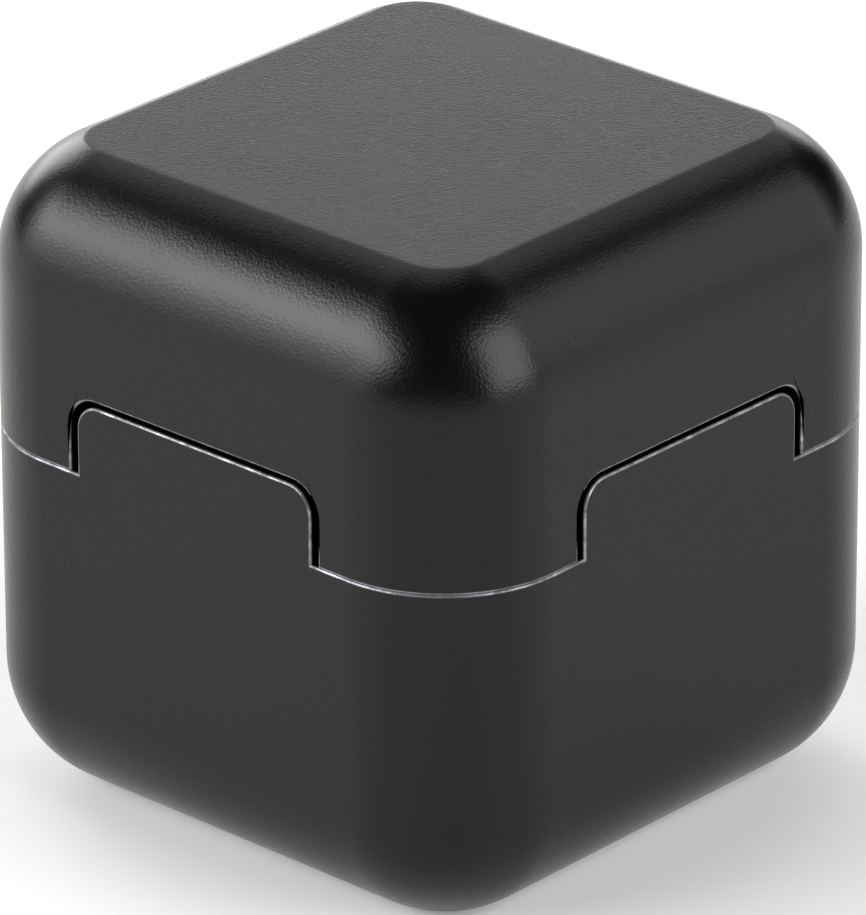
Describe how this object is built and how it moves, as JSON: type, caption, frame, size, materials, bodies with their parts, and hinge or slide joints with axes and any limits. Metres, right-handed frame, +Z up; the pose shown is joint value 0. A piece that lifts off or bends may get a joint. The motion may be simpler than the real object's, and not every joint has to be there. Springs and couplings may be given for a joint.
{
  "type": "air-cushioned fidget cube",
  "caption": "Rounded metal desk cube split by a square-toothed seam; its upper half lifts and glides down on a hidden piston and cylinder.",
  "frame": {"origin": "middle of the flat base", "axes": "+Z up along the piston, a flat face towards -Y and another towards +X"},
  "size_m": [0.036, 0.036, 0.036],
  "materials": {
    "black_anodised": "bead-blasted, black anodised, satin",
    "ground_steel": "cylindrically ground",
    "screw_steel": "plain stainless"
  },
  "bodies": {
    "lower_half": {"lower_shell": "black_anodised", "piston": "ground_steel", "piston_screw": "screw_steel"},
    "upper_half": {"upper_shell": "black_anodised", "cylinder": "ground_steel", "cylinder_screw": "screw_steel"}
  },
  "joints": [
    {"name": "lift", "type": "slide", "parent": "lower_half", "child": "upper_half", "axis": [0, 0, 1], "range_m": [0, 0.0168]}
  ]
}
